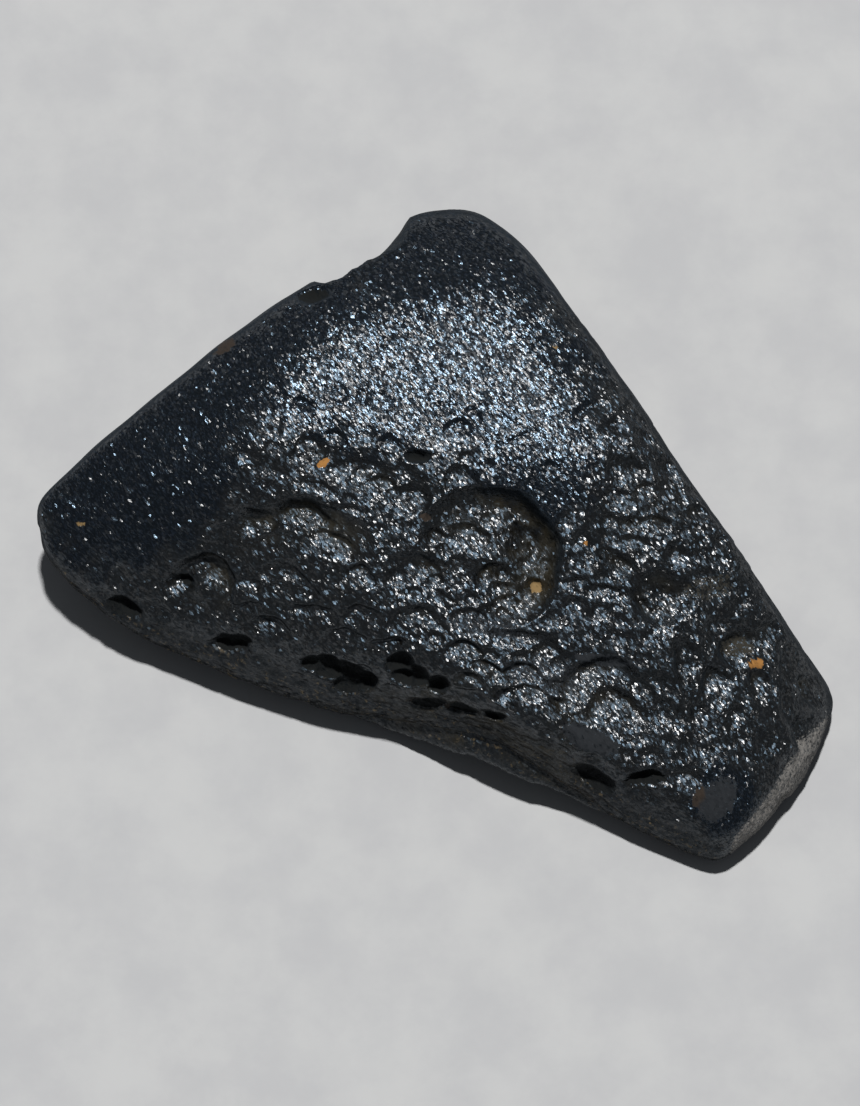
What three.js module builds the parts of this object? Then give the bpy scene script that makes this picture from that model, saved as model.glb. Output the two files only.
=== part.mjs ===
// Tektite: one piece of natural black glass, 50 mm long, lying on a small flat spot.
//
// The body is a lump of worn facets, the smooth maximum of a few planes. Hollows are pressed into
// it in four layers, each of which keeps only its deepest hollow at any place: wide basins, the
// steps that break their floors, the scoops that cover both, and steep pits left by gas bubbles.
// Other hollows, one to a cell of space, cover the faces that no hand-placed hollow reaches.
//
// The body has a frame of its own: u runs along the stone's length, v up its broad face and w out
// of that face. The stone lies with this frame leaned back, so that w stands LEAN above level.

import * as THREE from "three";
import { mergeVertices } from "three/addons/utils/BufferGeometryUtils.js";

const { degToRad, clamp, smoothstep } = THREE.MathUtils;

// ---- driving dimensions: millimetres and degrees ----

const LEAN = 70; // how far the broad face's normal stands above level
const MIDDLE_HEIGHT = 7; // the body's middle above the surface it lies on
const EDGE_SOFTNESS = 0.38; // rounding of the edges between facets
const PRESS_SOFTNESS = 3; // rounding of the body whose normals the hollows are pressed in along
const REST_CUT = 0.12; // how much skin the resting spot takes off

const CELLS = 28; // cells along each edge of the cube that is wrapped round the body
const FLATTENING = new THREE.Vector3(1, 0.85, 0.45); // spreads those cells evenly over a flat lump
const UPPER_SHARE = 0.18; // moves some of them from the underside to the top
const NEWTON_STEPS = 12;

// Facets of the body: tilt of the normal from w, its bearing from u towards v, and how far the
// facet lies from the middle.
const RIM = [
  { tilt: 90, bearing: 90, distance: 22.2 }, // the blunt top
  { tilt: 90, bearing: 124, distance: 20.2 }, // the long upper left side
  { tilt: 90, bearing: 132, distance: 21.1 },
  { tilt: 90, bearing: -172, distance: 26.8 }, // the left end
  { tilt: 90, bearing: -143, distance: 21.5 },
  { tilt: 90, bearing: -130, distance: 17.5 }, // the lower side
  { tilt: 90, bearing: -111, distance: 12.7 },
  { tilt: 90, bearing: -45, distance: 24.8 }, // the short right end
  { tilt: 90, bearing: -22, distance: 24.8 },
  { tilt: 90, bearing: 34.5, distance: 14.25 }, // the long right side
  { tilt: 90, bearing: 52, distance: 17.75 },
];
const TOP = [
  { tilt: 3, bearing: -70, distance: 4.8 }, // the broad pitted face
  { tilt: 8, bearing: 115, distance: 7 }, // the smooth crown
  { tilt: 17, bearing: 95, distance: 6.9 },
  { tilt: 30, bearing: 145, distance: 11.6 }, // the bevel round the crown, from its left
  { tilt: 40, bearing: 124, distance: 13.15 },
  { tilt: 40, bearing: 106, distance: 12.65 },
  { tilt: 42, bearing: 90, distance: 12.6 }, // behind it
  { tilt: 42, bearing: 65, distance: 12.3 },
  { tilt: 45, bearing: 38, distance: 13.2 }, // to its right
  { tilt: 35, bearing: 50, distance: 10.3 },
  { tilt: 24, bearing: 175, distance: 10.2 }, // the left wing
  { tilt: 24, bearing: -135, distance: 6.5 },
  { tilt: 39, bearing: -117, distance: 7.85 }, // the steep front
  { tilt: 55, bearing: -115, distance: 9.75 },
  { tilt: 48, bearing: -130, distance: 13 },
  { tilt: 39, bearing: -85, distance: 14.3 },
  { tilt: 60, bearing: 35, distance: 14.3 }, // the bevel along the right side
  { tilt: 19, bearing: 0, distance: 8.3 }, // the right tip
  { tilt: 50, bearing: 5, distance: 16 },
  { tilt: 55, bearing: -22, distance: 19.9 }, // the wall of the right end
  { tilt: 55, bearing: -45, distance: 21.2 },
];
// Facets of the underside: how far each rises from level, the bearing on the floor that it rises
// towards, and how far out from under the middle it leaves the floor.
const UNDERSIDE = [
  { rise: 0, bearing: 0, start: 0 }, // the resting spot
  { rise: 4, bearing: -75, start: 10 }, // towards the steep front
  { rise: 3, bearing: 0, start: 17 }, // the right tip
  { rise: 17, bearing: 85, start: 17 }, // the blunt top
  { rise: 50, bearing: 82, start: 16.1 },
  { rise: 13, bearing: 150, start: 15 }, // the upper left side
  { rise: 46, bearing: 141, start: 18.9 },
  { rise: 11, bearing: -150, start: 9 }, // the left end
  { rise: 34, bearing: -154, start: 20.4 },
];
const REST_SPOT = { at: new THREE.Vector3(-1.5, 3.5, 0), bare: 5, worn: 9 }; // radii round it

// Hollows on the faces seen from above: [u, v, radius along, radius across, turn, depth, steep].
// steep is the bearing of the hollow's steep wall, and its floor rises gently to the other side.
const BASINS = [
  [-8.5, 3.8, 6.5, 3.4, 0, 0.5, 90], // on the left
  [-1.5, -2.5, 5, 3, 0, 0.5, 90], // in the middle
  [11.6, 0.9, 4.1, 6.5, 20, 0.5, 130], // on the right
  [12, -2.2, 2, 1.9, 0, 0.7],
  [17, -6.4, 3.2, 2.8, 0, 0.4, 110],
  [5.6, -8.8, 4.9, 3.2, -20, 0.5, 110],
  [-7.3, 19.9, 4, 1.5, 29, 1.15], // the nick beside the blunt top
];
const STEPS = [
  [1.25, 0.25, 4.7, 4.3, -45, 1.8, 38], // the curved step
  [-11, 0.3, 5, 3.6, 0, 0.8, 90],
  [8.7, -9.3, 3.7, 3.1, -38, 0.6, 75],
  [-16.9, -1.9, 2.3, 2.3, 0, 1, 60],
];
const SCOOPS = [
  // the left end
  [-18.1, -2, 1.1, 1, 0, 0.54, 75],
  // the left basin
  [-10.3, 6.6, 1.3, 1.2, 10, 0.5, 55], [-10.6, 2.6, 1.9, 1, -10, 0.62, 75],
  [-13.9, 2.4, 1.9, 1, 0, 0.44, 65], [-8.6, 0.9, 1.9, 0.8, -35, 0.44, 60],
  [-12.5, 0.9, 1.7, 0.9, 10, 0.38, 85], [-11.4, -1.4, 2.1, 1, -26, 0.44, 50],
  [-6.8, -1.2, 1.1, 0.8, 0, 0.5, 62], [-6.8, -3.6, 1.3, 0.9, 5, 0.44, 82],
  [-12.8, 5.6, 1.7, 1.1, -18, 0.25, 60], [-7.4, 5.6, 1.6, 1, 3, 0.38, 78],
  [-5.8, 4.4, 1.3, 0.8, 0, 0.31, 65], [-5, 6.8, 0.9, 0.9, 0, 0.38, 85],
  // the middle basin
  [-3.75, 3.7, 1.3, 1.2, 0, 0.5, 55], [-0.5, 4.5, 1.3, 1.4, -15, 0.5, 100],
  [-3.6, -0.8, 2, 1.2, -30, 0.5, 85], [-1.9, 0.9, 1.4, 0.9, -20, 0.3, 100],
  [0.1, 1.4, 1.4, 1, -24, 0.45, 80], [3.1, 0.9, 1.4, 1.6, 25, 0.4, 30],
  [1.4, -1.2, 1.4, 1, 5, 0.5, 115], [-3.4, -4.1, 2.1, 1.1, -3, 0.45, 120],
  [0, -3.9, 1.4, 0.9, -25, 0.35, 50], [2.2, -3.1, 1.1, 0.9, 10, 0.25, 110],
  // the right basin
  [7.5, 9.2, 1.1, 0.9, 0, 0.35, 110], [9.8, 5.6, 1.5, 1.1, 0, 0.45, 120],
  [9.2, 3.9, 1.2, 0.8, -20, 0.35, 110], [12.5, 4.8, 0.8, 1.8, 20, 0.45, 80],
  [10.6, 0.8, 1.4, 0.7, -35, 0.3, 70], [9.2, -0.4, 1.9, 0.8, -45, 0.4, 60],
  [13.2, 0, 1.2, 1.1, 0, 0.35, 100], [14.4, -1.6, 1.6, 1.2, -10, 0.35, 100],
  [10.8, -3.2, 1.6, 0.8, -52, 0.3, 40],
  // towards the right tip
  [17.3, -5.6, 1.8, 1.4, -8, 0.91, 125], [13.6, -6.9, 1, 2.2, 22, 0.65, 125],
  [15.3, -7.8, 1.1, 1.5, 15, 0.72, 125], [18.2, -8.1, 0.9, 1.5, 15, 0.59, 125],
  [20.6, -6.9, 0.9, 1.6, 25, 0.52, 125], [20.2, -9.3, 0.9, 1.6, 28, 0.52, 125],
  [21.5, -8.3, 0.8, 1.4, 20, 1, 150], [21, -10.8, 0.8, 1.3, 20, 0.9, 150],
  [16.9, -10.4, 0.8, 1.5, 15, 0.45, 125], [14.6, -9.9, 0.9, 1.2, 10, 0.52, 125],
  [18.8, -4.9, 0.9, 1.2, 30, 0.45, 125],
  // the lower middle, down to the steep front
  [3.1, -5.2, 2.2, 1, -6, 0.45, 60], [4.8, -6.1, 1.2, 1.1, 12, 0.5, 115],
  [2.9, -7.4, 1.3, 1, 0, 0.45, 90], [3.2, -9.1, 1.8, 1, -3, 0.4, 130],
  [9.1, -9.9, 2.2, 1.7, -28, 0.6, 95], [0.1, -8.4, 1.4, 0.8, -37, 0.35, 70],
  [13.8, -13.9, 1.3, 0.9, -25, 0.4, 80], [8.1, -6.8, 1.5, 0.7, 5, 0.2, 130],
  // the steep front
  [-12.5, -4.3, 1.6, 0.7, -8, 0.49, 70], [-10, -3.3, 1.5, 0.7, -8, 0.49, 70],
  [-0.6, -5.9, 1.3, 0.8, -20, 0.56, 65], [-7.8, -5, 1.6, 0.7, 0, 0.42, 70],
];
// Steep pits have no gentle side: [u, v, radius along, radius across, turn, depth].
const PITS = [
  [-3.2, 6.6, 0.9, 0.4, 8, 0.6], [-9.9, 16.7, 1.1, 0.5, 20, 0.5],
  [-21.9, -3.1, 1.3, 0.6, -32, 0.8], [-15.1, -5.2, 1.4, 0.7, -5, 0.6],
  // the long row of lobes in the steep front
  [-9, -6.9, 1.05, 0.95, 0, 0.7], [-7.7, -7.3, 1.1, 1, 0, 0.75],
  [-6.9, -7.8, 0.95, 0.85, 0, 0.85], [-7.9, -8.1, 1.05, 0.7, 0, 0.6],
  // and the second row beside it
  [-4.3, -6.8, 1, 0.9, 0, 0.7], [-3.4, -7.5, 1, 0.9, 0, 0.6],
  [-2.1, -8.2, 0.85, 0.85, 0, 0.6], [-3.1, -9.9, 1.4, 0.7, -8, 0.3],
  [10.9, -13.9, 1.6, 0.6, 3, 0.7], [7.5, -14.4, 1.6, 0.9, -14, 0.5],
];
// wall: how abruptly a floor turns up to its rim, steepWall: the same on the hollow's steep
// side, wear: how much deeper the layer is worn.
const LAYERS = [
  { hollows: BASINS, wall: 2.6, steepWall: 2.6, wear: 1.1 },
  { hollows: STEPS, wall: 2.6, steepWall: 9, wear: 1.1 },
  { hollows: SCOOPS, wall: 2.2, steepWall: 2.7, wear: 1.55 },
  { hollows: PITS, wall: 2.6, steepWall: 2.6, wear: 1 },
];
const GENTLE_SIDE = 0.1; // depth left on the gentle side, as a share of the depth
const PILLOW = 0.33; // how far the middle of a floor swells back up, as a share of the depth
// the soft bay in the middle of the lower side
const BAY = { u: -0.6, v: -14.2, along: 8.5, across: 4.6, turn: -22, depth: 2 };
// how the lower edge lifts off the floor beside that bay; x and y lie on the floor
const ARCH = { x: 1.9, y: -12.4, along: 6.2, across: 3.4, turn: -23, rise: 2.4 };

// Hollows on the other faces, one to a cubic cell of space, in two layers.
const WORN = [
  { cell: 9, smallest: 0.35, largest: 0.6, depth: 1.1, seed: 7, wall: 1.2 },
  { cell: 3.8, smallest: 0.34, largest: 0.62, depth: 0.8, seed: 3, wall: 1.5 },
];
const TURNED_AWAY = [-0.85, -0.45]; // w of the normal, where they give way to the placed hollows
const SIDES = [-0.1, 0.35]; // w of the normal, above which the wear of the sides ends
const SIDE_WEAR = 0.5; // depth of these hollows on the sides, as a share of that underneath

// ---- the body ----

function bodyToRow() {
  const lean = degToRad(LEAN);
  const along = new THREE.Vector3(1, 0, 0);
  const upFace = new THREE.Vector3(0, Math.sin(lean), Math.cos(lean));
  const outOfFace = new THREE.Vector3(0, -Math.cos(lean), Math.sin(lean));
  return new THREE.Matrix4().makeBasis(along, upFace, outOfFace).setPosition(0, 0, MIDDLE_HEIGHT);
}

const BODY_TO_ROW = bodyToRow();
const ROW_TO_BODY = BODY_TO_ROW.clone().invert();

function planeOf({ tilt, bearing, distance }) {
  const [lean, turn] = [degToRad(tilt), degToRad(bearing)];
  const normal = new THREE.Vector3(
    Math.sin(lean) * Math.cos(turn), Math.sin(lean) * Math.sin(turn), Math.cos(lean));
  return new THREE.Plane(normal, -distance);
}

function undersidePlane({ rise, bearing, start }) {
  const [lean, turn] = [degToRad(rise), degToRad(bearing)];
  const down = new THREE.Vector3(
    Math.sin(lean) * Math.cos(turn), Math.sin(lean) * Math.sin(turn), -Math.cos(lean));
  const distance = start * Math.sin(lean) + MIDDLE_HEIGHT * Math.cos(lean);
  return new THREE.Plane(down.transformDirection(ROW_TO_BODY), -distance);
}

const PLANES = [...[...RIM, ...TOP].map(planeOf), ...UNDERSIDE.map(undersidePlane)];

// Distance from the middle to the skin along a direction, where the planes' smooth maximum is 0.
function skinRadius(direction) {
  const slopes = PLANES.map((plane) => plane.normal.dot(direction));
  const steepest = Math.max(...PLANES.map((plane, i) => slopes[i] / -plane.constant));
  let radius = 1 / steepest;
  for (let step = 0; step < NEWTON_STEPS; step += 1) {
    let total = 0;
    let slope = 0;
    PLANES.forEach((plane, i) => {
      const weight = Math.exp((slopes[i] * radius + plane.constant) / EDGE_SOFTNESS);
      total += weight;
      slope += weight * slopes[i];
    });
    radius -= (EDGE_SOFTNESS * Math.log(total) * total) / slope;
  }
  return radius;
}

// Outward normal at a point of the body rounded by softness.
function outward(point, softness) {
  const normal = new THREE.Vector3();
  for (const plane of PLANES) {
    const weight = Math.exp(plane.distanceToPoint(point) / softness);
    normal.addScaledVector(plane.normal, weight);
  }
  return normal.normalize();
}

// ---- the hollows ----

// A point as shares of an ellipse's two radii.
function within(u, v, atU, atV, along, across, turn) {
  const [cos, sin] = [Math.cos(degToRad(turn)), Math.sin(degToRad(turn))];
  return [
    ((u - atU) * cos + (v - atV) * sin) / along,
    ((v - atV) * cos - (u - atU) * sin) / across,
  ];
}

function hollowHeight(u, v, [atU, atV, along, across, turn, depth, steep], wall, steepWall) {
  const [a, b] = within(u, v, atU, atV, along, across, turn);
  const out = Math.min(1, a * a + b * b);
  if (steep === undefined) return -depth * (1 - out ** (wall / 2));
  const towards = degToRad(steep - turn);
  const ramp = clamp((1 + a * Math.cos(towards) + b * Math.sin(towards)) / 2, 0, 1);
  const inside = 1 - out ** ((wall + (steepWall - wall) * ramp) / 2);
  const swollen = PILLOW * (1 - out) ** 2;
  return -depth * (inside * (GENTLE_SIDE + (1 - GENTLE_SIDE) * ramp) - swollen);
}

function placedHollows({ x, y }) {
  // the outlines wander a little, so that none is a clean ellipse
  const u = x + 0.16 * Math.sin(1.3 * y + 0.5 * x) + 0.04 * Math.sin(4.3 * y - 2.7 * x + 1);
  const v = y + 0.16 * Math.sin(1.4 * x - 0.4 * y + 2) + 0.04 * Math.sin(4.7 * x + 2.2 * y);
  const [a, b] = within(x, y, BAY.u, BAY.v, BAY.along, BAY.across, BAY.turn);
  let height = -BAY.depth * Math.exp(-a * a - b * b);
  for (const { hollows, wall, steepWall, wear } of LAYERS) {
    const heights = hollows.map((hollow) => hollowHeight(u, v, hollow, wall, steepWall));
    height += wear * Math.min(0, ...heights);
  }
  return height;
}

// A repeatable number from 0 to 1 for a cell of space.
function cellNumber(i, j, k) {
  const mixed = Math.sin(i * 127.1 + j * 311.7 + k * 74.7) * 43758.5453;
  return mixed - Math.floor(mixed);
}

function wornHollows(point, { cell, smallest, largest, depth, seed, wall }) {
  const home = point.clone().divideScalar(cell).floor();
  let lowest = 0;
  for (const dx of [-1, 0, 1]) for (const dy of [-1, 0, 1]) for (const dz of [-1, 0, 1]) {
    const [i, j, k] = [home.x + dx, home.y + dy, home.z + dz];
    const pick = (n) => cellNumber(i + 0.13 * n + seed, j, k);
    const centre = new THREE.Vector3(i + pick(1), j + pick(2), k + pick(3)).multiplyScalar(cell);
    const radius = cell * (smallest + (largest - smallest) * pick(4));
    const inside = Math.max(0, 1 - (centre.distanceToSquared(point) / radius ** 2) ** wall);
    const ramp = 0.55 + 0.45 * clamp((point.y - centre.y) / radius, -1, 1);
    lowest = Math.min(lowest, -depth * (0.3 + 0.7 * pick(5)) * inside * ramp);
  }
  return lowest;
}

function swell({ x, y, z }, hidden) {
  const broad = 0.35 * Math.sin(0.31 * x + 0.9) * Math.sin(0.37 * y + 0.4);
  const fine = 0.06 * Math.sin(0.83 * x + 0.4 * y) * Math.sin(0.71 * y - 0.5 * z + 1);
  return broad * (0.4 + 0.6 * hidden) + fine;
}

function relief(point) {
  const outOfFace = outward(point, EDGE_SOFTNESS).z;
  const shown = smoothstep(outOfFace, ...TURNED_AWAY);
  const worn = Math.max(1 - shown, SIDE_WEAR * (1 - smoothstep(outOfFace, ...SIDES)));
  const out = point.clone().applyMatrix4(BODY_TO_ROW).distanceTo(REST_SPOT.at);
  let height = placedHollows(point) * shown + swell(point, 1 - shown);
  for (const layer of WORN) height += wornHollows(point, layer) * worn;
  return height * smoothstep(out, REST_SPOT.bare, REST_SPOT.worn);
}

function archRise({ x, y }) {
  const [a, b] = within(x, y, ARCH.x, ARCH.y, ARCH.along, ARCH.across, ARCH.turn);
  return ARCH.rise * Math.exp(-a * a - b * b);
}

// ---- the solid ----

// Directions of a cube's grid points, evened out over a flattened ball.
function wrapDirection(point) {
  const bend = (c) => Math.tan((c * Math.PI) / 4);
  point.set(bend(point.x), bend(point.y), bend(point.z)).normalize().multiply(FLATTENING);
  point.z += UPPER_SHARE;
  return point.normalize();
}

function tektiteGeometry() {
  const box = new THREE.BoxGeometry(2, 2, 2, CELLS, CELLS, CELLS);
  box.deleteAttribute("normal");
  box.deleteAttribute("uv");
  const geometry = mergeVertices(box);
  const places = geometry.getAttribute("position");
  const point = new THREE.Vector3();
  for (let i = 0; i < places.count; i += 1) {
    const direction = wrapDirection(point.fromBufferAttribute(places, i));
    point.copy(direction).multiplyScalar(skinRadius(direction));
    point.addScaledVector(outward(point, PRESS_SOFTNESS), relief(point));
    point.applyMatrix4(BODY_TO_ROW);
    point.z = Math.max(0, point.z + archRise(point) - REST_CUT);
    places.setXYZ(i, point.x, point.y, point.z);
  }
  geometry.computeBoundingBox();
  const middle = geometry.boundingBox.getCenter(new THREE.Vector3());
  geometry.translate(-middle.x, -middle.y, 0);
  geometry.computeVertexNormals();
  return geometry;
}

const glass = new THREE.MeshStandardMaterial({ color: "#25282b", roughness: 0.38, metalness: 0 });
const tektite = new THREE.Mesh(tektiteGeometry(), glass);
tektite.name = "tektite";

const part = new THREE.Group();
part.add(tektite);
export default part;
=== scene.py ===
"""The looks of the tektite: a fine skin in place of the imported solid, its glass, dust and soil.

The skin is the solid's own shape made again on a finer net: a smooth maximum of planes with
hollows pressed into it. It adds the hollows that are too small for the solid. Lengths in the
shape sections are millimetres and angles are degrees, as in the part's source. Blender's own
objects are in metres, and colours are linear.

The stone has a frame of its own: u runs along its length, v up its broad face and w out of that
face. The stone lies with this frame leaned back, so that w stands LEAN above level.
"""

import bpy
import numpy as np
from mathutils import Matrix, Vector


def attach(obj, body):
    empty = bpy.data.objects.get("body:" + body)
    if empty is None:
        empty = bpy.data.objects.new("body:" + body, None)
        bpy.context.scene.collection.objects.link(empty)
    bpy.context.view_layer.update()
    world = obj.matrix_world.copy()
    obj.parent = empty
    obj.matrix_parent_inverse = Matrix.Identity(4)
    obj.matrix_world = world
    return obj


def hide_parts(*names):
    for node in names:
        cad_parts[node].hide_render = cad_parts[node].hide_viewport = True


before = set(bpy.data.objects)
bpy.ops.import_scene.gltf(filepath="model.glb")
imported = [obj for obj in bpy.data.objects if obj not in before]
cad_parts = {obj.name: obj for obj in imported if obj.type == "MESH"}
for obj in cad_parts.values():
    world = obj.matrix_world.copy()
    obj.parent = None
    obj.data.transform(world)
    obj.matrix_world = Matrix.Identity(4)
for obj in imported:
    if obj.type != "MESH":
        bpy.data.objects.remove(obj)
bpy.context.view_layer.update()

MM = 0.001

# ---- the body ----

LEAN = 70.0  # how far w stands above level
MIDDLE_HEIGHT = 7.0  # the body's middle above the surface it lies on
EDGE_SOFTNESS = 0.38  # rounding of the edges between facets
PRESS_SOFTNESS = 3.0  # rounding of the body whose normals the hollows are pressed in along
REST_CUT = 0.12  # how much skin the resting spot takes off

CELLS = 128  # cells along each edge of the cube that is wrapped round the body
FLATTENING = np.array([1.0, 0.85, 0.45])  # spreads those cells evenly over a flat lump
UPPER_SHARE = 0.18  # moves some of them from the underside to the top
NEWTON_STEPS = 12

# facets of the body: tilt of the normal from w, its bearing from u towards v, distance from the
# middle
RIM = [
    (90, 90, 22.2), (90, 124, 20.2), (90, 132, 21.1), (90, -172, 26.8), (90, -143, 21.5),
    (90, -130, 17.5), (90, -111, 12.7), (90, -45, 24.8), (90, -22, 24.8), (90, 34.5, 14.25),
    (90, 52, 17.75),
]
TOP = [
    # the broad face and the crown
    (3, -70, 4.8), (8, 115, 7.0), (17, 95, 6.9),
    # the bevel round the crown, from its left
    (30, 145, 11.6), (40, 124, 13.15), (40, 106, 12.65), (42, 90, 12.6), (42, 65, 12.3),
    (45, 38, 13.2), (35, 50, 10.3),
    # the left wing and the steep front
    (24, 175, 10.2), (24, -135, 6.5),
    (39, -117, 7.85), (55, -115, 9.75), (48, -130, 13.0), (39, -85, 14.3),
    # the right side, the right tip and the wall of the right end
    (60, 35, 14.3), (19, 0, 8.3), (50, 5, 16.0), (55, -22, 19.9), (55, -45, 21.2),
]
# facets of the underside: rise from level, the bearing on the floor that it rises towards, and
# how far out from under the middle it leaves the floor
UNDERSIDE = [
    (0, 0, 0), (4, -75, 10), (3, 0, 17), (17, 85, 17), (13, 150, 15), (11, -150, 9),
    (50, 82, 16.1), (46, 141, 18.9), (34, -154, 20.4),
]
REST_SPOT_AT = np.array([-1.5, 3.5, 0.0])
REST_SPOT_WEAR = (5.0, 9.0)  # how far out from that spot the hollows begin and are whole

# ---- the hollows ----

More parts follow.
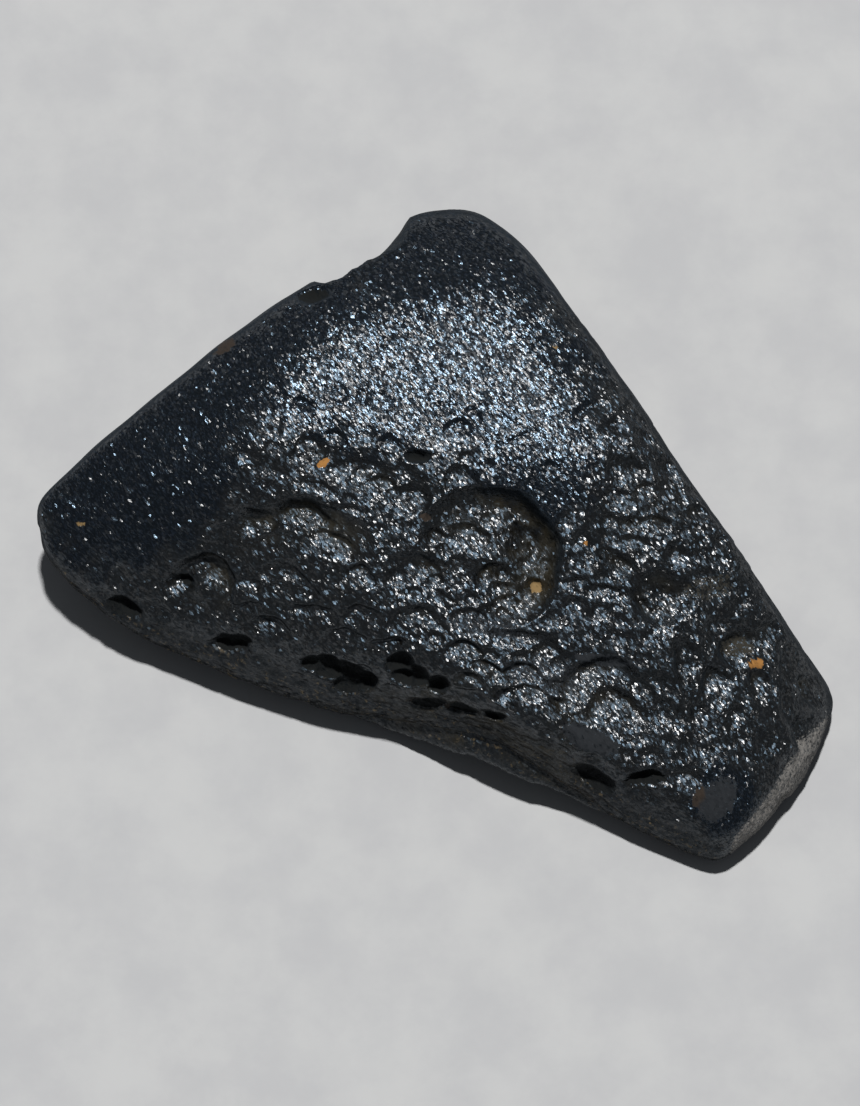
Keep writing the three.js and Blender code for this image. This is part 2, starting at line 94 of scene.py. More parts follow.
# where in u and v, radii along and across, turn, depth, and the bearing of the steep side; a
# hollow without a steep side is a plain bowl
BASINS = [
    (-8.5, 3.8, 6.5, 3.4, 0, 0.5, 90), (11.6, 0.9, 4.1, 6.5, 20, 0.5, 130),
    (17, -6.4, 3.2, 2.8, 0, 0.4, 110), (5.6, -8.8, 4.9, 3.2, -20, 0.5, 110),
    (-7.3, 19.9, 4.0, 1.5, 29, 1.15), (-1.5, -2.5, 5, 3, 0, 0.5, 90), (12, -2.2, 2, 1.9, 0, 0.7),
]
STEPS = [
    (1.25, 0.25, 4.7, 4.3, -45, 1.8, 38), (-11, 0.3, 5, 3.6, 0, 0.8, 90),
    (8.7, -9.3, 3.7, 3.1, -38, 0.6, 75), (-16.9, -1.9, 2.3, 2.3, 0, 1.0, 60),
]
SCOOPS = [
    # left end
    (-17.8, -2.6, 0.9, 0.8, 0, 0.36, 70), (-16.2, -1.4, 0.9, 0.8, 0, 0.36, 70),
    (-18.1, -2, 1.1, 1, 0, 0.54, 75), (-20, -3.3, 1.2, 0.6, -20, 0.36, 70),
    (-20, -4.5, 0.9, 0.5, -10, 0.3, 70),
    (-16.1, -5.5, 0.8, 0.4, 0, 0.48, 70), (-14.8, -6, 1, 0.7, -15, 0.48, 70),
    (-17.4, -3.4, 1.1, 0.8, 0, 0.3, 70),
    # left basin
    (-10.3, 6.6, 1.3, 1.2, 10, 0.5, 55), (-8.4, 7.5, 0.7, 0.6, 8, 0.31, 78),
    (-11.8, 10.4, 0.8, 0.4, -45, 0.25, 65), (-10.2, 9.7, 0.9, 0.4, -33, 0.38, 70),
    (-10.6, 2.6, 1.9, 1, -10, 0.62, 75), (-13.9, 2.4, 1.9, 1, 0, 0.44, 65),
    (-7.8, 3, 1.2, 0.6, -7, 0.38, 78), (-8.6, 0.9, 1.9, 0.8, -35, 0.44, 60),
    (-12.5, 0.9, 1.7, 0.9, 10, 0.38, 85), (-14.1, -1.6, 1, 0.6, -10, 0.38, 70),
    (-11.4, -1.4, 2.1, 1, -26, 0.44, 50), (-12.2, -2, 0.8, 0.6, 8, 0.31, 78),
    (-6.8, -1.2, 1.1, 0.8, 0, 0.5, 62), (-6.8, -3.6, 1.3, 0.9, 5, 0.44, 82),
    (-9.4, -3.2, 1, 0.4, -10, 0.25, 70), (-12.8, 5.6, 1.7, 1.1, -18, 0.25, 60),
    (-7.4, 5.6, 1.6, 1, 3, 0.38, 78), (-5.8, 4.4, 1.3, 0.8, 0, 0.31, 65),
    (-5, 6.8, 0.9, 0.9, 0, 0.38, 85), (-9.4, 4.4, 1.4, 0.5, -10, 0.25, 72),
    # centre
    (-3.75, 3.7, 1.3, 1.2, 0, 0.5, 55), (-0.5, 4.5, 1.3, 1.4, -15, 0.5, 100),
    (-3.6, -0.8, 2, 1.2, -30, 0.5, 85), (-1.9, 0.9, 1.4, 0.9, -20, 0.3, 100),
    (0.1, 1.4, 1.4, 1, -24, 0.45, 80), (3.1, 0.9, 1.4, 1.6, 25, 0.4, 30),
    (1.4, -1.2, 1.4, 1, 5, 0.5, 115), (4.1, -1.6, 0.8, 0.6, 0, 0.35, 50),
    (-3.4, -4.1, 2.1, 1.1, -3, 0.45, 120), (-2.4, -4.8, 0.7, 0.5, -12, 0.25, 80),
    (0, -3.9, 1.4, 0.9, -25, 0.35, 50), (2.2, -3.1, 1.1, 0.9, 10, 0.25, 110),
    (-1.6, -2.5, 1.2, 0.5, -25, 0.25, 80),
    # smooth crown's edge
    (-0.9, 8, 0.9, 0.8, -10, 0.25, 90), (0, 8.8, 0.6, 0.7, 30, 0.25, 60),
    (1.9, 8.8, 0.9, 0.6, -30, 0.15, 80), (4.9, 5.6, 0.6, 0.6, 0, 0.12, 90),
    (-1.9, 9.5, 1, 0.5, -10, 0.12, 80), (3.1, 7.5, 1.5, 0.4, 14, 0.12, 100),
    # right basin
    (7.5, 9.2, 1.1, 0.9, 0, 0.35, 110), (8.9, 7.8, 0.9, 0.8, 20, 0.25, 100),
    (9.8, 5.6, 1.5, 1.1, 0, 0.45, 120), (9.2, 3.9, 1.2, 0.8, -20, 0.35, 110),
    (10.8, 4.4, 0.7, 0.7, 0, 0.25, 90), (12.5, 4.8, 0.8, 1.8, 20, 0.45, 80),
    (8.9, 2.4, 0.8, 0.7, 0, 0.3, 110), (10.1, 2.2, 0.9, 0.8, 0, 0.35, 80),
    (11.6, 2.2, 1.1, 0.6, 0, 0.4, 60), (10.6, 0.8, 1.4, 0.7, -35, 0.3, 70),
    (9.2, -0.4, 1.9, 0.8, -45, 0.4, 60), (13.2, 0, 1.2, 1.1, 0, 0.35, 100),
    (14.4, -1.6, 1.6, 1.2, -10, 0.35, 100), (8.3, -1.9, 1.2, 0.6, -5, 0.35, 90),
    (8, -3.1, 0.6, 0.6, 0, 0.25, 90), (8.9, -3.2, 0.8, 0.6, 0, 0.2, 90),
    (10.8, -3.2, 1.6, 0.8, -52, 0.3, 40), (6.8, 0.9, 0.7, 0.8, 0, 0.3, 90),
    (13.9, 3, 0.8, 0.7, 0, 0.3, 80), (15.6, 0.8, 0.6, 0.9, 10, 0.25, 80),
    (14.4, 0.9, 0.6, 0.8, 0, 0.2, 80), (12.2, -2.2, 0.9, 0.8, -30, 0.2, 70),
    (11.6, -4.5, 1, 0.5, 20, 0.2, 110), (6.9, -1.6, 1, 0.5, 0, 0.3, 90),
    # lower right
    (17.3, -5.6, 1.8, 1.4, -8, 0.91, 125), (13.6, -6.9, 1, 2.2, 22, 0.65, 125),
    (15.3, -7.8, 1.1, 1.5, 15, 0.72, 125), (18.2, -8.1, 0.9, 1.5, 15, 0.59, 125),
    (20.6, -6.9, 0.9, 1.6, 25, 0.52, 125), (20.2, -9.3, 0.9, 1.6, 28, 0.52, 125),
    (21.5, -8.3, 0.8, 1.4, 20, 1.0, 150), (21, -10.8, 0.8, 1.3, 20, 0.9, 150),
    (20.2, -5.9, 0.6, 1.1, 30, 0.4, 140),
    (16.9, -10.4, 0.8, 1.5, 15, 0.45, 125), (15.8, -4.2, 1.2, 0.8, 10, 0.45, 125),
    (18.8, -4.9, 0.9, 1.2, 30, 0.45, 125), (14.6, -9.9, 0.9, 1.2, 10, 0.52, 125),
    (18.6, -11.6, 0.8, 1.1, 20, 0.33, 125), (12.4, -9.6, 0.7, 1.3, 30, 0.45, 125),
    # lower middle
    (3.1, -5.2, 2.2, 1, -6, 0.45, 60), (4.8, -6.1, 1.2, 1.1, 12, 0.5, 115),
    (2.9, -7.4, 1.3, 1, 0, 0.45, 90), (3.2, -9.1, 1.8, 1, -3, 0.4, 130),
    (5.4, -8.1, 0.9, 0.5, -10, 0.3, 90), (5.1, -9.5, 0.7, 0.7, 0, 0.3, 55),
    (9.1, -9.9, 2.2, 1.7, -28, 0.6, 95), (9.8, -10.6, 1.5, 0.6, -65, 0.2, 60),
    (4.7, -11.6, 0.6, 0.5, 5, 0.25, 130), (0.1, -8.4, 1.4, 0.8, -37, 0.35, 70),
    (6.6, -10.9, 1, 0.4, -28, 0.15, 55), (10.4, -11.2, 1, 0.5, 2, 0.2, 105),
    (9.9, -12.6, 1.1, 0.5, -55, 0.25, 50), (7.6, -13.1, 0.7, 0.6, 5, 0.3, 130),
    (13.8, -13.9, 1.3, 0.9, -25, 0.4, 80), (11.2, -12.5, 0.9, 0.6, -18, 0.2, 55),
    (14.4, -11.9, 0.5, 0.5, 0, 0.2, 115), (10.6, -14.9, 1.3, 0.5, -25, 0.35, 80),
    (8.1, -6.8, 1.5, 0.7, 5, 0.2, 130), (11.9, -8.1, 0.8, 1.2, 35, 0.25, 60),
    # front slope
    (-12.5, -4.3, 1.6, 0.7, -8, 0.49, 70), (-10, -3.3, 1.5, 0.7, -8, 0.49, 70),
    (-0.6, -5.9, 1.3, 0.8, -20, 0.56, 65), (-13.9, -3.1, 1.2, 0.6, 0, 0.42, 70),
    (-5.2, -5.4, 1.4, 0.6, -5, 0.42, 70), (0.8, -7.2, 1.2, 0.7, -20, 0.49, 65),
    (-7.8, -5, 1.6, 0.7, 0, 0.42, 70),
]
PITS = [
    # the crown, its edges and the left end
    (-8.1, 10.2, 0.6, 0.6, 0, 0.12), (-6.7, 10.3, 0.6, 0.5, 0, 0.12),
    (6.4, 11.8, 0.6, 0.6, 0, 0.15), (-3.2, 6.6, 0.9, 0.4, 8, 0.6),
    (-21.9, -3.1, 1.3, 0.6, -32, 0.8), (-15.1, -5.2, 1.4, 0.7, -5, 0.6),
    # the steep front
    (-10.1, -6.5, 0.75, 0.65, 0, 0.5), (-9, -6.9, 1.05, 0.95, 0, 0.7),
    (-7.7, -7.3, 1.1, 1.0, 0, 0.75), (-6.9, -7.8, 0.95, 0.85, 0, 0.85),
    (-7.9, -8.1, 1.05, 0.7, 0, 0.6), (-4.3, -6.8, 1.0, 0.9, 0, 0.7),
    (-3.4, -7.5, 1.0, 0.9, 0, 0.6), (-4.2, -7.8, 0.9, 0.7, 0, 0.75),
    (-2.1, -8.2, 0.85, 0.85, 0, 0.6), (-3.1, -9.9, 1.4, 0.7, -8, 0.3),
    (-1.1, -10.6, 1.3, 0.6, -10, 0.3), (1.1, -10.7, 0.9, 0.5, -10, 0.35),
    (10.9, -13.9, 1.6, 0.6, 3, 0.7), (7.5, -14.4, 1.6, 0.9, -14, 0.5),
    # the left crater and the upper left side
    (-18, -1.4, 0.6, 0.6, 0, 0.3), (-9.9, 16.7, 1.1, 0.5, 20, 0.5),
]
# layers of hollows, each of which keeps only its deepest at any place: how abruptly a floor turns
# up to its rim, the same on its steep side, and how much deeper the layer is worn
LAYERS = [
    (BASINS, 2.6, 2.6, 1.1),
    (STEPS, 2.6, 9.0, 1.1),
    (SCOOPS, 2.2, 2.7, 1.55),
    (PITS, 2.6, 2.6, 1.0),
]
GENTLE_SIDE = 0.1  # depth left on the gentle side, as a share of the depth
PILLOW = 0.33  # how far the middle of a floor swells back up, as a share of the depth
WANDER = (0.16, 0.04)  # how far the outlines stray from clean ellipses, in two sizes of wave
BAY = (-0.6, -14.2, 8.5, 4.6, -22, 2.0)  # the soft bay in the middle of the lower side
ARCH = (1.9, -12.4, 6.2, 3.4, -23, 2.4)  # how the front edge lifts off the floor beside it
SWELL_BROAD = 0.35  # height of the long waves over the whole skin
SWELL_FINE = 0.06  # and of the short ones
SWELL_SHOWN = 0.4  # share of the long waves that the faces that show keep

# hollows one to a cubic cell of space: cell, smallest and largest radius, depth, seed, wall
WORN = [(9.0, 0.35, 0.6, 1.1, 7, 1.2), (3.8, 0.34, 0.62, 0.8, 3, 1.5)]
DIMPLES = (1.3, 0.4, 0.7, 0.27, 10, 1.6)
POCKS = (0.62, 0.4, 0.7, 0.08, 40, 1.3)
POCKS_WHERE_CALM = 0.1
SHALLOWEST = 0.3  # depth of the shallowest of them, as a share of the depth
LOW_SIDE = 0.1  # depth left on the lower side of each, as a share of that on its upper side
TURNED_AWAY = (-0.85, -0.45)  # w of the normal, where they give way to the placed hollows
SIDES = (-0.1, 0.35)  # w of the normal, above which the wear of the sides ends
SIDE_WEAR = 0.5  # depth of the worn hollows on the sides, as a share of that underneath

# ---- what covers the skin ----

# smooth places: where, radii and turn
CALM = [
    (-3.8, 12.2, 12.2, 5.5, 0), (4.1, 6.6, 3.9, 4.5, 0), (-20.6, 5, 7.5, 5, 35),
    (0, 18.6, 7.2, 3.9, 0), (-15, 11.9, 11.9, 3.8, 34), (15.9, -15, 2.1, 2.5, 0),
]
CALM_EDGE = (0.75, 1.15)  # shares of the radii between which the smooth skin ends
CALM_RAGGED = 0.09  # how far that edge strays
DUST = (0.005, 0.004, 0.0022)
DUST_FROM = (0.06, 0.25)  # depths of the pits between which it covers their walls
FRONT = (90, -113)  # tilt and bearing of the dusty front
FRONT_EDGE = (0.5, 0.8)  # cosines of the turn away from it, between which the dust comes in
END_WALL = (62, -34)  # tilt and bearing of the frosted wall of the right end
END_WALL_EDGE = (0.9, 0.95)  # the same for the frost
END_WALL_COVER = 0.6
STEEP_FROM = (0.3, 0.6)  # how far the skin turns away from the broad face before its gloss goes
DEEPEST = 2.0  # the most depth that the material is told of

ORANGE = (0.26, 0.12, 0.03)
TAN = (0.17, 0.11, 0.045)
BROWN = (0.024, 0.016, 0.01)
WALL = (0.14, 0.13, 0.118)
SAND = (0.024, 0.02, 0.013)
# grey of dull patches, partly painted shade on the lower middle
SLATE_AND_SHADE = (0.014, 0.014, 0.0145)
# where, radii, turn, colour, and the share of the skin that it covers
SOIL_AND_SHADE_PATCHES = [
    (-9.2, 6.1, 0.5, 0.28, 30, ORANGE, 1), (4.1, -1.7, 0.45, 0.45, 0, TAN, 0.75),
    (17.9, -6.4, 0.6, 0.35, 10, ORANGE, 1), (14.2, -14.8, 0.4, 0.8, -28, BROWN, 1),
    (-15.3, 13.4, 0.9, 0.4, 35, BROWN, 0.8), (-2.8, 2.7, 0.4, 0.3, 0, BROWN, 0.9),
    (7.2, 1.1, 0.15, 0.15, 0, ORANGE, 1), (-24.4, 2.3, 0.3, 0.3, 0, TAN, 0.8),
    (-3.1, -9.8, 1.2, 0.5, -8, BROWN, 0.7), (-1.2, -10.5, 1.1, 0.4, -10, BROWN, 0.7),
    (5.3, 13.3, 0.15, 0.12, 0, TAN, 1), (16.9, -5.3, 1.2, 0.9, -8, SAND, 0.6),
    (14.9, -1.6, 1.9, 0.9, 10, SAND, 0.5), (15.4, -14.9, 1.2, 1.9, -30, SLATE_AND_SHADE, 0.7),
    # dull grey slate patches on the lower middle: painted shade, dimming it as if the broad face
    # turned away from the light
    (1.5, -4.3, 3.6, 0.7, -8, SLATE_AND_SHADE, 0.48), (4.6, -7.2, 3.0, 1.5, -8, SLATE_AND_SHADE, 0.5),
    (8.3, -6.2, 2.2, 0.5, -5, SLATE_AND_SHADE, 0.75), (7.4, -11.5, 2.2, 1.0, -15, SLATE_AND_SHADE, 0.75),
]
PATCH_EDGE = (0.7, 1.1)  # shares of the radii between which a patch of it ends
PATCH_RAGGED = 0.15  # how far that edge strays


# ---- building the body ----

def direction(tilt, bearing):
    lean, turn = np.radians([tilt, bearing])
    return np.array([np.sin(lean) * np.cos(turn), np.sin(lean) * np.sin(turn), np.cos(lean)])


def row_axes():
    """u, v and w of the stone's own frame, as directions in the row frame"""
    lean = np.radians(LEAN)
    return np.array([
        [1, 0, 0],
        [0, np.sin(lean), np.cos(lean)],
        [0, -np.cos(lean), np.sin(lean)],
    ])


ROW_AXES = row_axes()


def to_row(points):
    return points @ ROW_AXES + np.array([0, 0, MIDDLE_HEIGHT])


def body_planes():
    normals = [direction(tilt, bearing) for tilt, bearing, _ in RIM + TOP]
    distances = [distance for _, _, distance in RIM + TOP]
    for rise, bearing, start in UNDERSIDE:
        normals.append(ROW_AXES @ (direction(rise, bearing) * np.array([1, 1, -1])))
        lean = np.radians(rise)
        distances.append(start * np.sin(lean) + MIDDLE_HEIGHT * np.cos(lean))
    return np.array(normals), np.array(distances)


PLANE_NORMALS, PLANE_DISTANCES = body_planes()


def skin_radius(directions):
    """distance from the middle at which the planes' smooth maximum is zero"""
    slopes = directions @ PLANE_NORMALS.T
    radius = 1 / (slopes / PLANE_DISTANCES).max(1)
    for _ in range(NEWTON_STEPS):
        weights = np.exp((slopes * radius[:, None] - PLANE_DISTANCES) / EDGE_SOFTNESS)
        total = weights.sum(1)
        radius -= EDGE_SOFTNESS * np.log(total) * total / (weights * slopes).sum(1)
    return radius


def outward(points, softness):
    """outward normal at points of the body rounded by softness"""
    weights = np.exp((points @ PLANE_NORMALS.T - PLANE_DISTANCES) / softness)
    normals = weights @ PLANE_NORMALS
    return normals / np.linalg.norm(normals, axis=1)[:, None]


# ---- pressing the hollows ----

def ease(x, low, high):
    t = np.clip((x - low) / (high - low), 0, 1)
    return t * t * (3 - 2 * t)


def within(u, v, at_u, at_v, along, across, turn):
    """u and v as shares of an ellipse's two radii"""
    cos, sin = np.cos(np.radians(turn)), np.sin(np.radians(turn))
    a = ((u - at_u) * cos + (v - at_v) * sin) / along
    b = ((v - at_v) * cos - (u - at_u) * sin) / across
    return a, b


def hollow_height(u, v, hollow, wall, steep_wall):
    at_u, at_v, along, across, turn, depth = hollow[:6]
    a, b = within(u, v, at_u, at_v, along, across, turn)
    out = a * a + b * b
    if len(hollow) == 6:
        return -depth * np.maximum(0, 1 - out ** (wall / 2))
    towards = np.radians(hollow[6] - turn)
    ramp = np.clip((1 + a * np.cos(towards) + b * np.sin(towards)) / 2, 0, 1)
    inside = np.maximum(0, 1 - np.minimum(out, 1) ** ((wall + (steep_wall - wall) * ramp) / 2))
    swollen = PILLOW * np.maximum(0, 1 - out) ** 2
    return -depth * (inside * (GENTLE_SIDE + (1 - GENTLE_SIDE) * ramp) - swollen)


def bell(x, y, mound):
    """height of a mound that falls to about a third of its top at its radii"""
    a, b = within(x, y, *mound[:5])
    return mound[5] * np.exp(-a * a - b * b)


def placed_hollows(x, y):
    """height of the skin over the body, and the share of dust in the pits"""
    far, near = WANDER
    u = x + far * np.sin(1.3 * y + 0.5 * x) + near * np.sin(4.3 * y - 2.7 * x + 1)
    v = y + far * np.sin(1.4 * x - 0.4 * y + 2) + near * np.sin(4.7 * x + 2.2 * y)
    height = -bell(x, y, BAY)
    for hollows, wall, steep_wall, wear in LAYERS:
        deepest = np.zeros_like(x)
        for hollow in hollows:
            deepest = np.minimum(deepest, hollow_height(u, v, hollow, wall, steep_wall))
        height += wear * deepest
    return height, ease(-deepest, *DUST_FROM)


def calm_share(u, v):
    """1 on the smooth crown, wing and corners, 0 where the skin is pitted"""
    ragged = CALM_RAGGED * (np.sin(1.3 * u + 2.1 * v) + np.sin(2.9 * u - 1.7 * v + 1))
    share = np.zeros_like(u)
    for at_u, at_v, along, across, turn in CALM:
        a, b = within(u, v, at_u, at_v, along, across, turn)
        share = np.maximum(share, 1 - ease(np.hypot(a, b) + ragged, *CALM_EDGE))
    return share


def paint_soil_and_shade(u, v, dust, wall):
    """colour and cover of the dust in the pits, the frosted wall, the soil on the skin and the grey
    patches that partly paint shade
    """
    paint = np.zeros((len(u), 4))
    paint[:, :3] = DUST
    paint[wall > dust, :3] = WALL
    paint[:, 3] = np.maximum(dust, wall)
    ragged = PATCH_RAGGED * np.sin(9 * u + 5 * v) * np.sin(7 * v - 4 * u)
    for at_u, at_v, along, across, turn, color, share in SOIL_AND_SHADE_PATCHES:
        a, b = within(u, v, at_u, at_v, along, across, turn)
        cover = share * (1 - ease(np.hypot(a, b) + ragged, *PATCH_EDGE))
        paint[cover > paint[:, 3], :3] = color
        paint[:, 3] = np.maximum(paint[:, 3], cover)
    return paint


def cell_number(i, j, k):
    """a repeatable number from 0 to 1 for a cell of space"""
    mixed = np.sin(i * 127.1 + j * 311.7 + k * 74.7) * 43758.5453
    return mixed - np.floor(mixed)


def cell_hollows(points, cell, smallest, largest, depth, seed, wall):
    """height of the skin over the body from hollows one to a cell of space"""
    home = np.floor(points / cell)
    lowest = np.zeros(len(points))
    steps = (-1, 0, 1)
    for offset in [(dx, dy, dz) for dx in steps for dy in steps for dz in steps]:
        i, j, k = (home + offset).T
        pick = lambda n, i=i, j=j, k=k: cell_number(i + 0.13 * n + seed, j, k)
        centre = np.stack([i + pick(1), j + pick(2), k + pick(3)], 1) * cell
        radius = cell * (smallest + (largest - smallest) * pick(4))
        share = ((points - centre) ** 2).sum(1) / radius ** 2
        inside = np.maximum(0, 1 - share ** wall)
        upwards = (1 + np.clip((points - centre)[:, 1] / radius, -1, 1)) / 2
        ramp = LOW_SIDE + (1 - LOW_SIDE) * upwards
        deep = depth * (SHALLOWEST + (1 - SHALLOWEST) * pick(5))
        lowest = np.minimum(lowest, -deep * inside * ramp)
    return lowest


def swell(points, hidden):
    """height of low waves in the skin"""
    x, y, z = points.T
    broad = SWELL_BROAD * np.sin(0.31 * x + 0.9) * np.sin(0.37 * y + 0.4)
    fine = SWELL_FINE * np.sin(0.83 * x + 0.4 * y) * np.sin(0.71 * y - 0.5 * z + 1)
    return broad * (SWELL_SHOWN + (1 - SWELL_SHOWN) * hidden) + fine


def relief(points):
    """height of the skin over the body, how pitted and how dusty it is, and the dust in its pits"""
    u, v, _ = points.T
    normals = outward(points, EDGE_SOFTNESS)
    shown = ease(normals[:, 2], *TURNED_AWAY)
    off_the_sides = ease(normals[:, 2], *SIDES)
    worn = np.maximum(1 - shown, SIDE_WEAR * (1 - off_the_sides))
    placed, dust = placed_hollows(u, v)
    height = placed * shown + swell(points, 1 - shown)
    for layer in WORN:
        height += cell_hollows(points, *layer) * worn
    pitted = 1 - calm_share(u, v) * shown
    dusty = ease(normals @ direction(*FRONT), *FRONT_EDGE)
    height += pitted * cell_hollows(points, *DIMPLES)
    height += (POCKS_WHERE_CALM + (1 - POCKS_WHERE_CALM) * pitted) * cell_hollows(points, *POCKS)
    from_rest_spot = np.linalg.norm(to_row(points) - REST_SPOT_AT, axis=1)
    height *= ease(from_rest_spot, *REST_SPOT_WEAR)
    return height, pitted, dusty, dust * off_the_sides


# ---- the skin's mesh ----

def wrapped_net(cells):
    """directions of a cube's grid points spread over a flattened ball, and the quads between"""
    bent = np.tan(np.linspace(-np.pi / 4, np.pi / 4, cells + 1))
    one, other = np.meshgrid(bent, bent, indexing="ij")
    corner = np.arange((cells + 1) ** 2).reshape(cells + 1, cells + 1)
    quad = np.stack([corner[:-1, :-1], corner[1:, :-1], corner[1:, 1:], corner[:-1, 1:]], -1)
    points, quads = [], []
    for axis in range(3):
        for side in (-1, 1):
            face = np.empty((cells + 1, cells + 1, 3))
            face[..., axis] = side
            face[..., (axis + 1) % 3] = one if side > 0 else other
            face[..., (axis + 2) % 3] = other if side > 0 else one
            quads.append(quad.reshape(-1, 4) + len(points) * (cells + 1) ** 2)
            points.append(face.reshape(-1, 3))
    points = np.concatenate(points)
    points /= np.linalg.norm(points, axis=1)[:, None]
    rounded = np.round(points, 6)  # so that the points on a shared edge fall together
    _, first, shared = np.unique(rounded, axis=0, return_index=True, return_inverse=True)
    points = points[first] * FLATTENING + np.array([0, 0, UPPER_SHARE])
    points /= np.linalg.norm(points, axis=1)[:, None]
    return points, shared.reshape(-1)[np.concatenate(quads)]


def face_out(points, quads):
    """the skin's outward direction at each point"""
    a, b, c, d = (points[corner] for corner in quads.T)
    across = np.cross(c - a, d - b)
    total = np.zeros_like(points)
    for corner in quads.T:
        np.add.at(total, corner, across)
    return total / np.linalg.norm(total, axis=1)[:, None]


def skin_mesh():
    """the skin, and where the body's middle lies over the floor"""
    directions, quads = wrapped_net(CELLS)
    body = directions * skin_radius(directions)[:, None]
    height, pitted, dusty, dust = relief(body)
    towards_end = outward(body, EDGE_SOFTNESS) @ direction(*END_WALL)
    wall = END_WALL_COVER * ease(towards_end, *END_WALL_EDGE)
    # colours of dust, frost, soil and grey patches, the last partly painted shade
    soil_and_shade = paint_soil_and_shade(*body[:, :2].T, dust, wall)
    points = to_row(body + outward(body, PRESS_SOFTNESS) * height[:, None])
    points[:, 2] += bell(*points[:, :2].T, ARCH)
    points[:, 2] = np.maximum(0, points[:, 2] - REST_CUT)
    middle = (points.min(0) + points.max(0)) / 2 * (1, 1, 0)
    points -= middle
    steep = ease(1 - face_out(points, quads) @ ROW_AXES[2], *STEEP_FROM)
    mesh = bpy.data.meshes.new("tektite_skin")
    mesh.from_pydata((points * MM).tolist(), [], quads.tolist())
    mesh.polygons.foreach_set("use_smooth", np.ones(len(quads), bool))
    depth = np.clip(-height, 0, DEEPEST)
    for name, values in {"pitted": pitted, "dusty": dusty, "steep": steep, "depth": depth}.items():
        attribute = mesh.attributes.new(name, "FLOAT", "POINT")
        attribute.data.foreach_set("value", values.astype(np.float32))
    attribute = mesh.attributes.new("soil_and_shade", "FLOAT_COLOR", "POINT")
    attribute.data.foreach_set("color", soil_and_shade.astype(np.float32).ravel())
    mesh.update()
    return mesh, -middle


# ---- materials ----

# noise: width of its grains, detail, and the values from which and to which a mask of it comes in
PATCHES = (3.0, 4.0, 0.35, 0.65)  # of soil on the floors of hollows
# light speckle of the skin: partly fine scratches, partly painted glints
SCUFF_AND_GLINT_NOISE = (0.11, 3.0, 0.45, 0.85)
GRIT = (0.28, 2.0, 0.54, 0.64)  # on the dusty front
CRUST = (0.45, 3.0, 0.44, 0.64)
POWDER = (0.3, 2.0, 0.42, 0.6, 0.65, 1.0)  # the last two: how dull it leaves the front
COVER_GRAINS = (0.15, 2.0)
# the cover counts the soil, dust, frost and grey patches, the last partly painted shade
COVER_FROM = (0.9, 1.1)  # cover and noise together, between which soil hides the skin
FLOOR_DEPTHS = (0.25, 1.2)  # depths between which soil comes in on the floors
DASHES = (52, 2.2)  # turn of the fine texture, and how long its grains are drawn
WRINKLES = (0.2, 2.0, 0.6)  # the last: how rough the noise is
WRINKLE_HEIGHT = 0.05
GROUND_FACET = 0.13
COAT_FACET = 0.11
RARE_TILT = 3.2  # how much further the rarest facets tilt
RARITY = 4.0  # the higher, the fewer of them tilt that far

# near-black glass; its blue tint on calm skin is a painted blue sky reflection
CALM_GLASS_AND_SHEEN = (0.0012, 0.0018, 0.0026, 1)
PITTED_GLASS = (0.0026, 0.0019, 0.001, 1)
# blue-grey of that speckle: scratches with painted glints and a painted blue sky reflection
SCUFF_AND_GLINT = (0.012, 0.017, 0.026, 1)
DARK_CRUST = (0.012, 0.009, 0.005, 1)
PALE_CRUST = (0.085, 0.06, 0.028, 1)
FLOOR_SOIL = (0.02, 0.0145, 0.006, 1)

# on calm skin and on pitted skin
# first: how much light speckle, partly painted glints, covers it
SCUFF_AND_GLINT_SHARE = (1.0, 0.15)
ROUGHNESS = (0.22, 0.37)
FACET_TILT = (0.38, 0.48)
COAT = (0.4, 0.75)

# how much rougher the ground is, and how much of the coat is lost
DUSTY_WEAR = 0.25
STEEP_WEAR, STEEP_DULL = 0.65, 0.9
FLOOR_WEAR, FLOOR_DULL = 0.2, 0.45

# the blue Specular Tint paints a blue sky reflection into the glass's glints
GLASS = {
    "IOR": 1.4, "Specular Tint": (0.6, 0.8, 1.0, 1),
    "Coat Roughness": 0.24, "Coat IOR": 1.5, "Coat Tint": (0.9, 0.96, 1.0, 1),
}
PAPER_LIGHT = (0.364, 0.364, 0.361, 1)
PAPER_DARK = (0.328, 0.328, 0.331, 1)
PAPER_CLOUDS = (6.0, 5.0, 0.6)
CLOUDS_FROM = (0.3, 0.7)
PAPER = {"Roughness": 0.9, "Specular IOR Level": 0.2}


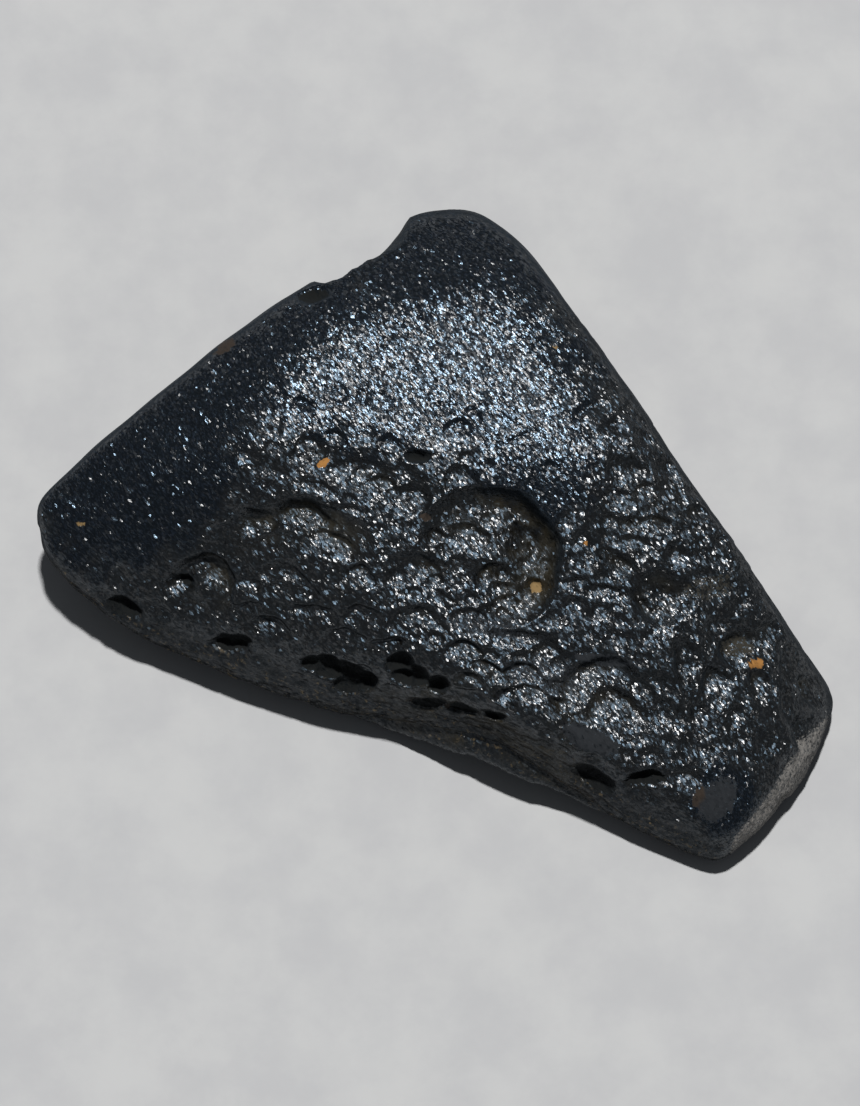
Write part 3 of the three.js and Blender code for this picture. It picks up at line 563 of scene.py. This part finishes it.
class Nodes:
    """a material's node tree, with short ways to add and join nodes"""

    def __init__(self, name):
        self.material = bpy.data.materials.new(name)
        self.material.use_nodes = True
        self.tree = self.material.node_tree
        self.shader = self.tree.nodes["Principled BSDF"]

    def add(self, kind, settings=(), **inputs):
        node = self.tree.nodes.new("ShaderNode" + kind)
        for key, value in dict(settings).items():
            setattr(node, key, value)
        for key, value in inputs.items():
            self.put(value, node.inputs[key.replace("_", " ")])
        return node

    def put(self, value, socket):
        if isinstance(value, bpy.types.NodeSocket):
            self.tree.links.new(value, socket)
        else:
            socket.default_value = value

    def math(self, operation, *values):
        node = self.tree.nodes.new("ShaderNodeMath")
        node.operation = operation
        for value, socket in zip(values, node.inputs):
            self.put(value, socket)
        return node.outputs[0]

    def times(self, first, second):
        return self.math("MULTIPLY", first, second)

    def larger(self, first, second):
        return self.math("MAXIMUM", first, second)

    def between(self, share, first, second):
        """from the first number to the second, as share runs from 0 to 1"""
        return self.math("MULTIPLY_ADD", share, second - first, first)

    def vector(self, operation, *values, scale=None):
        node = self.tree.nodes.new("ShaderNodeVectorMath")
        node.operation = operation
        for value, socket in zip(values, node.inputs):
            self.put(value, socket)
        if scale is not None:
            self.put(scale, node.inputs["Scale"])
        return node.outputs[0]

    def span(self, value, low, high, to_low=0.0, to_high=1.0):
        """value from low..high to to_low..to_high, with soft ends"""
        node = self.add("MapRange", {"interpolation_type": "SMOOTHSTEP"})
        for name, given in zip(("Value", "From Min", "From Max", "To Min", "To Max"),
                               (value, low, high, to_low, to_high)):
            self.put(given, node.inputs[name])
        return node.outputs["Result"]

    def blend(self, share, first, second):
        node = self.add("Mix", {"data_type": "RGBA"})
        for socket, given in ((0, share), (6, first), (7, second)):
            self.put(given, node.inputs[socket])
        return node.outputs[2]

    def noise(self, where, grain, detail, roughness=0.55):
        """noise whose grains are about that many millimetres wide"""
        node = self.add("TexNoise", Vector=where, Scale=1 / (grain * MM), Detail=detail,
                        Roughness=roughness)
        return node.outputs["Fac"]

    def mask(self, where, grain, detail, *ends):
        """such a noise between the values where it comes in and where it is whole"""
        return self.span(self.noise(where, grain, detail), *ends)

    def stretched(self, where, turn, stretch):
        """coordinates in which a noise's grains come out long, at that turn about Z"""
        turned = self.add("VectorRotate", {"rotation_type": "Z_AXIS"}, Vector=where,
                          Angle=np.radians(turn))
        return self.vector("MULTIPLY", turned.outputs[0], (1 / stretch, 1, 1))

    def facets(self, where, width, tilt, rare, normal):
        """a normal broken into small facets; a few of them tilt up to rare times as far"""
        cells = self.add("TexVoronoi", Vector=where, Scale=1 / (width * MM))
        luck = self.add("TexWhiteNoise", Vector=cells.outputs["Position"]).outputs["Value"]
        reach = self.between(self.math("POWER", luck, RARITY), 1.0, rare)
        away = self.vector("SUBTRACT", cells.outputs["Color"], (0.5, 0.5, 0.5))
        tilted = self.vector("SCALE", away, scale=self.times(tilt, reach))
        return self.vector("NORMALIZE", self.vector("ADD", tilted, normal))

    def bump(self, height, distance):
        return self.add("Bump", Height=height, Distance=distance * MM).outputs["Normal"]

    def attribute(self, name, output="Fac"):
        return self.add("Attribute", {"attribute_name": name}).outputs[output]


def glass_material():
    n = Nodes("tektite_glass")
    place = n.add("TexCoord").outputs["Object"]
    dashes = n.stretched(place, *DASHES)
    pitted, dusty, steep, depth = map(n.attribute, ("pitted", "dusty", "steep", "depth"))
    soil_and_shade = n.math("ADD", n.attribute("soil_and_shade", "Alpha"), n.noise(place, *COVER_GRAINS))
    covered = n.span(soil_and_shade, *COVER_FROM)
    floors = n.times(n.span(depth, *FLOOR_DEPTHS), n.mask(place, *PATCHES))

    # the glass's own colour, with a painted blue sky reflection on the calm skin
    glass_and_sheen = n.blend(pitted, CALM_GLASS_AND_SHEEN, PITTED_GLASS)
    # light speckle: scratches with painted glints and a painted blue sheen, and grit on the dusty
    # front
    scuffs_and_glints = n.times(n.between(pitted, *SCUFF_AND_GLINT_SHARE), n.mask(dashes, *SCUFF_AND_GLINT_NOISE))
    scuffs_and_glints = n.larger(scuffs_and_glints, n.times(dusty, n.mask(place, *GRIT)))
    crust = n.blend(n.mask(place, *CRUST), DARK_CRUST, PALE_CRUST)
    scuffed_and_glinting = n.blend(scuffs_and_glints, glass_and_sheen, n.blend(dusty, SCUFF_AND_GLINT, crust))
    skin = n.blend(floors, scuffed_and_glinting, FLOOR_SOIL)
    # soil, dust, frost and grey patches hide the skin; the grey ones partly paint shade
    n.put(n.blend(covered, skin, n.attribute("soil_and_shade", "Color")), n.shader.inputs["Base Color"])

    worn = n.larger(n.times(dusty, DUSTY_WEAR), n.times(steep, STEEP_WEAR))
    worn = n.larger(worn, n.times(floors, FLOOR_WEAR))
    rough = n.math("ADD", n.between(pitted, *ROUGHNESS), worn)
    n.put(n.larger(rough, covered), n.shader.inputs["Roughness"])

    wrinkled = n.bump(n.noise(dashes, *WRINKLES), WRINKLE_HEIGHT)
    tilt = n.between(pitted, *FACET_TILT)
    n.put(n.facets(dashes, GROUND_FACET, tilt, RARE_TILT, wrinkled), n.shader.inputs["Normal"])
    n.put(n.facets(dashes, COAT_FACET, tilt, RARE_TILT, wrinkled), n.shader.inputs["Coat Normal"])

    powdered = n.times(dusty, n.mask(dashes, *POWDER))
    dull = n.larger(powdered, n.times(steep, STEEP_DULL))
    dull = n.larger(dull, n.times(floors, FLOOR_DULL))
    clean = n.math("SUBTRACT", 1.0, n.larger(covered, dull))
    n.put(n.times(clean, n.between(pitted, *COAT)), n.shader.inputs["Coat Weight"])
    for name, value in GLASS.items():
        n.shader.inputs[name].default_value = value
    return n.material


def paper_material():
    n = Nodes("pale_floor")
    place = n.add("TexCoord").outputs["Object"]
    clouds = n.span(n.noise(place, *PAPER_CLOUDS), *CLOUDS_FROM)
    n.put(n.blend(clouds, PAPER_DARK, PAPER_LIGHT), n.shader.inputs["Base Color"])
    for name, value in PAPER.items():
        n.shader.inputs[name].default_value = value
    return n.material


# ---- the scene ----

PHOTO_SIZE = (860, 1106)
PIXELS_PER_MM = 16.0
MIDDLE_PIXEL = (470, 560)  # where the body's middle falls
LENS = 250.0
SENSOR = 36.0
NEAREST = 0.01  # metres from the camera
# azimuth from +Y towards +X, height above level, and size, distance and power in metres and watts
KEY_LIGHT = (3.4, 77, 0.16, 3.0, 138)
SKY_COLOR = (0.8, 0.86, 0.94)
SKY_STRENGTH = 0.135
FLOOR_HALF = 2.0  # metres


def photo_camera(foot):
    """a camera that looks straight at the broad face, along w"""
    middle = (foot + (0, 0, MIDDLE_HEIGHT)) * MM
    across, up_face, towards = ROW_AXES
    off_u = (PHOTO_SIZE[0] / 2 - MIDDLE_PIXEL[0]) / PIXELS_PER_MM
    off_v = (MIDDLE_PIXEL[1] - PHOTO_SIZE[1] / 2) / PIXELS_PER_MM
    away = PHOTO_SIZE[1] / PIXELS_PER_MM * LENS / SENSOR
    place = middle + (across * off_u + up_face * off_v + towards * away) * MM
    data = bpy.data.cameras.new("camera")
    data.lens = LENS
    data.sensor_width = SENSOR
    data.clip_start = NEAREST
    camera = bpy.data.objects.new("camera", data)
    camera.location = Vector(place)
    camera.rotation_euler = Vector(towards).to_track_quat("Z", "Y").to_euler()
    bpy.context.scene.collection.objects.link(camera)
    bpy.context.scene.camera = camera


def key_light(azimuth, height, size, away, power):
    turn, up = np.radians([azimuth, height])
    place = Vector((np.sin(turn) * np.cos(up), np.cos(turn) * np.cos(up), np.sin(up))) * away
    data = bpy.data.lights.new("key", "AREA")
    data.size = size
    data.energy = power
    light = bpy.data.objects.new("key", data)
    light.location = place
    light.rotation_euler = place.to_track_quat("Z", "Y").to_euler()
    bpy.context.scene.collection.objects.link(light)


def sky():
    world = bpy.data.worlds.new("sky")
    world.use_nodes = True
    background = world.node_tree.nodes["Background"]
    background.inputs["Color"].default_value = (*SKY_COLOR, 1)
    background.inputs["Strength"].default_value = SKY_STRENGTH
    bpy.context.scene.world = world


def floor():
    corners = [(x * FLOOR_HALF, y * FLOOR_HALF, 0) for x, y in ((-1, -1), (1, -1), (1, 1), (-1, 1))]
    mesh = bpy.data.meshes.new("floor")
    mesh.from_pydata(corners, [], [(0, 1, 2, 3)])
    mesh.materials.append(paper_material())
    thing = bpy.data.objects.new("floor", mesh)
    bpy.context.scene.collection.objects.link(thing)


def tektite():
    mesh, foot = skin_mesh()
    mesh.materials.append(glass_material())
    stone = bpy.data.objects.new("tektite_stone", mesh)
    bpy.context.scene.collection.objects.link(stone)
    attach(stone, "root")
    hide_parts("tektite")
    return foot


bpy.context.scene.view_settings.view_transform = "Standard"
FOOT = tektite()
floor()
photo_camera(FOOT)
key_light(*KEY_LIGHT)
sky()
